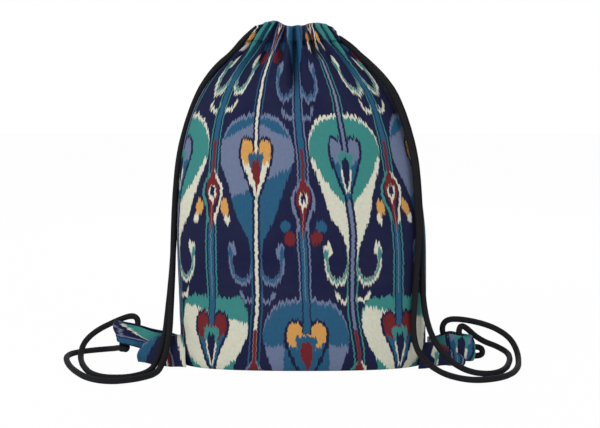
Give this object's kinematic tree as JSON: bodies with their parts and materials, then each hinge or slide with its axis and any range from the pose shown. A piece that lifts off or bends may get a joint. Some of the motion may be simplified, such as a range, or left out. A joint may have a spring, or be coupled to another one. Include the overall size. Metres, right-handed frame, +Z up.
{
  "type": "drawstring backpack",
  "caption": "Printed canvas drawstring backpack standing filled, with a gathered mouth, cord shoulder straps and corner tabs.",
  "frame": {"origin": "middle of the flat base the bag stands on", "axes": "+Z up, -Y towards the front of the bag, +X to the right seen from the front"},
  "size_m": [0.5396, 0.1926, 0.397],
  "materials": {
    "printed_canvas": "plain-weave cotton canvas with an ikat print",
    "seam_canvas": "reverse of the canvas",
    "thread": "sewing thread",
    "cord": "braided black cord"
  },
  "bodies": {
    "bag": {"front_panel": "printed_canvas", "back_panel": "printed_canvas", "bottom_seam": "seam_canvas", "left_side_seam": "seam_canvas", "right_side_seam": "seam_canvas", "left_tab_root": "printed_canvas", "right_tab_root": "printed_canvas", "left_tab_tacks": "thread", "right_tab_tacks": "thread", "left_front_strand": "cord", "left_back_strand": "cord", "right_front_strand": "cord", "right_back_strand": "cord"},
    "front_mouth": {"front_gathers": "printed_canvas", "front_casing": "printed_canvas", "front_casing_stitches": "thread", "left_cord_front_run": "cord", "right_cord_front_run": "cord", "left_front_top": "cord", "right_front_top": "cord", "left_cord_bight": "cord", "right_cord_bight": "cord"},
    "back_mouth": {"back_gathers": "printed_canvas", "back_casing": "printed_canvas", "back_casing_stitches": "thread", "left_cord_back_run": "cord", "right_cord_back_run": "cord", "left_back_top": "cord", "right_back_top": "cord"},
    "left_strap_end": {"left_tab": "printed_canvas", "left_knot": "cord", "left_front_tail": "cord", "left_back_tail": "cord"},
    "right_strap_end": {"right_tab": "printed_canvas", "right_knot": "cord", "right_cord_tail": "cord", "right_front_tail": "cord", "right_back_tail": "cord"}
  },
  "joints": [
    {"name": "mouth_front_open", "type": "hinge", "parent": "bag", "child": "front_mouth", "pos_m": [0, -0.0367, 0.345], "axis": [1, 0, 0], "range_deg": [0, 16]},
    {"name": "mouth_back_open", "type": "hinge", "parent": "bag", "child": "back_mouth", "pos_m": [0, 0.0367, 0.345], "axis": [1, 0, 0], "range_deg": [-16, 0]},
    {"name": "left_tab_swing", "type": "hinge", "parent": "bag", "child": "left_strap_end", "pos_m": [-0.147, 0, 0], "axis": [0, 0, 1], "range_deg": [-40, 30]},
    {"name": "right_tab_swing", "type": "hinge", "parent": "bag", "child": "right_strap_end", "pos_m": [0.147, 0, 0], "axis": [0, 0, 1], "range_deg": [0, 40]}
  ],
  "couplings": [
    {"joint": "mouth_back_open", "follows": "mouth_front_open", "ratio": -1}
  ]
}
